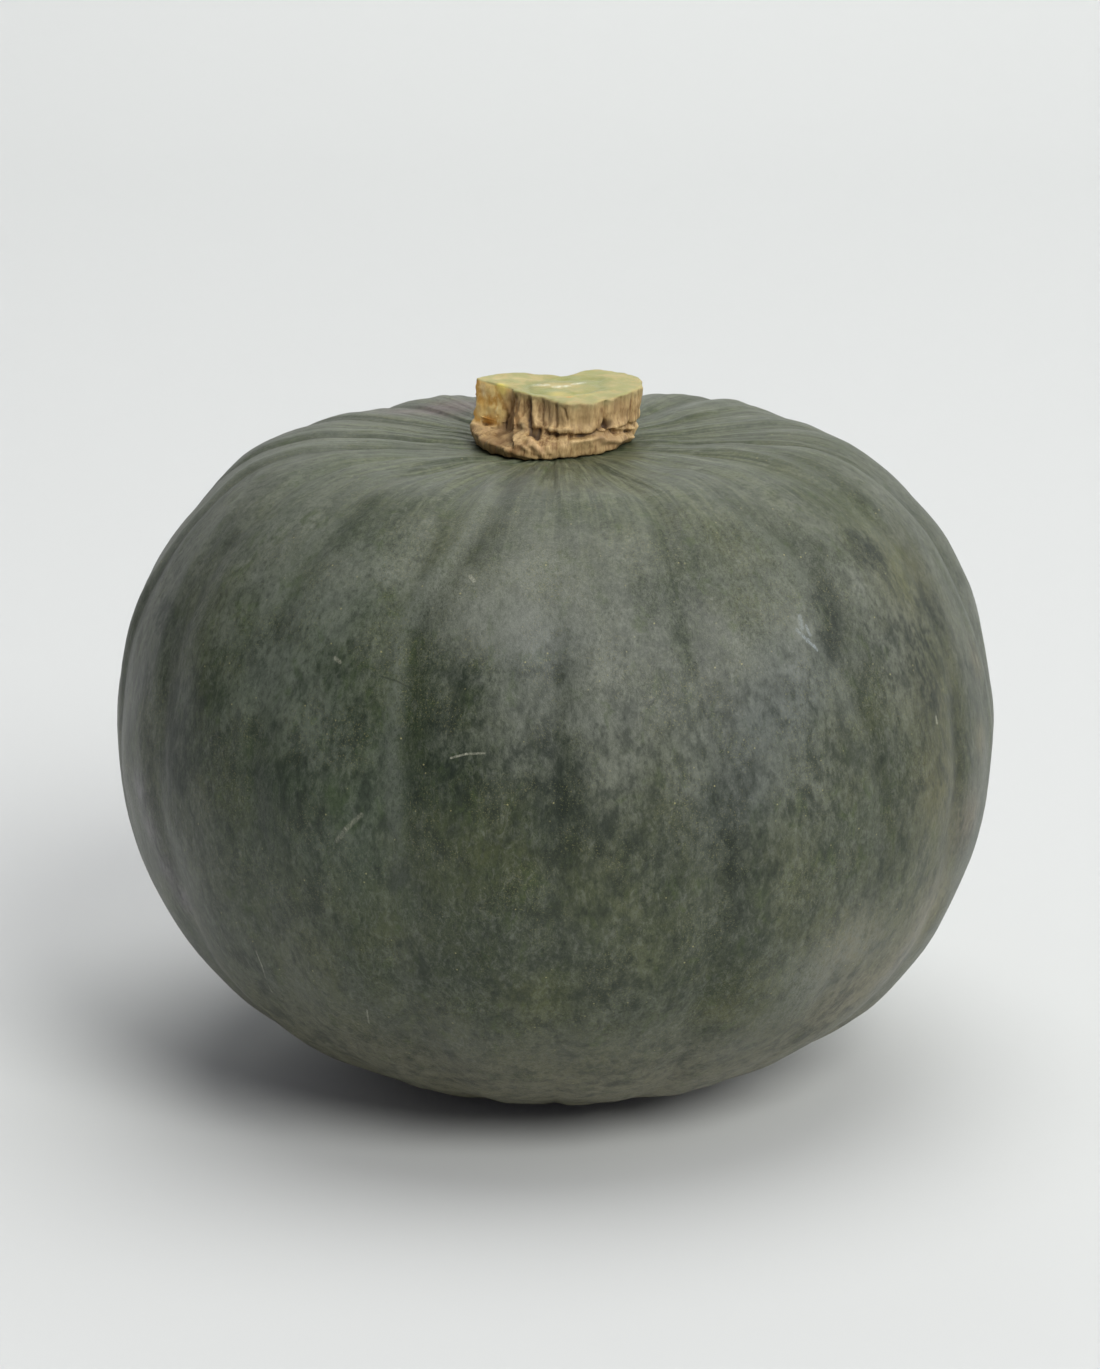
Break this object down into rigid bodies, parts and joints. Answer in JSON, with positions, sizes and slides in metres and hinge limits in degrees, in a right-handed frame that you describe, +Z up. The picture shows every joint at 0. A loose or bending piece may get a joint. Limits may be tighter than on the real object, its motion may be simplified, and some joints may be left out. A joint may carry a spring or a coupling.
{
  "type": "kabocha squash",
  "caption": "Whole squat ribbed squash with a dark green rind and a short corky cut stalk, resting upright on its blossom end.",
  "frame": {"origin": "under the middle of the squash, on the surface that it rests on", "axes": "+Z up along the axis from the blossom end to the stalk, -Y towards the side that the picture shows"},
  "size_m": [0.1802, 0.179, 0.1446],
  "materials": {
    "rind": "satin",
    "cork": "matte"
  },
  "bodies": {
    "root": {"fruit": "rind", "stem": "cork"}
  },
  "joints": []
}
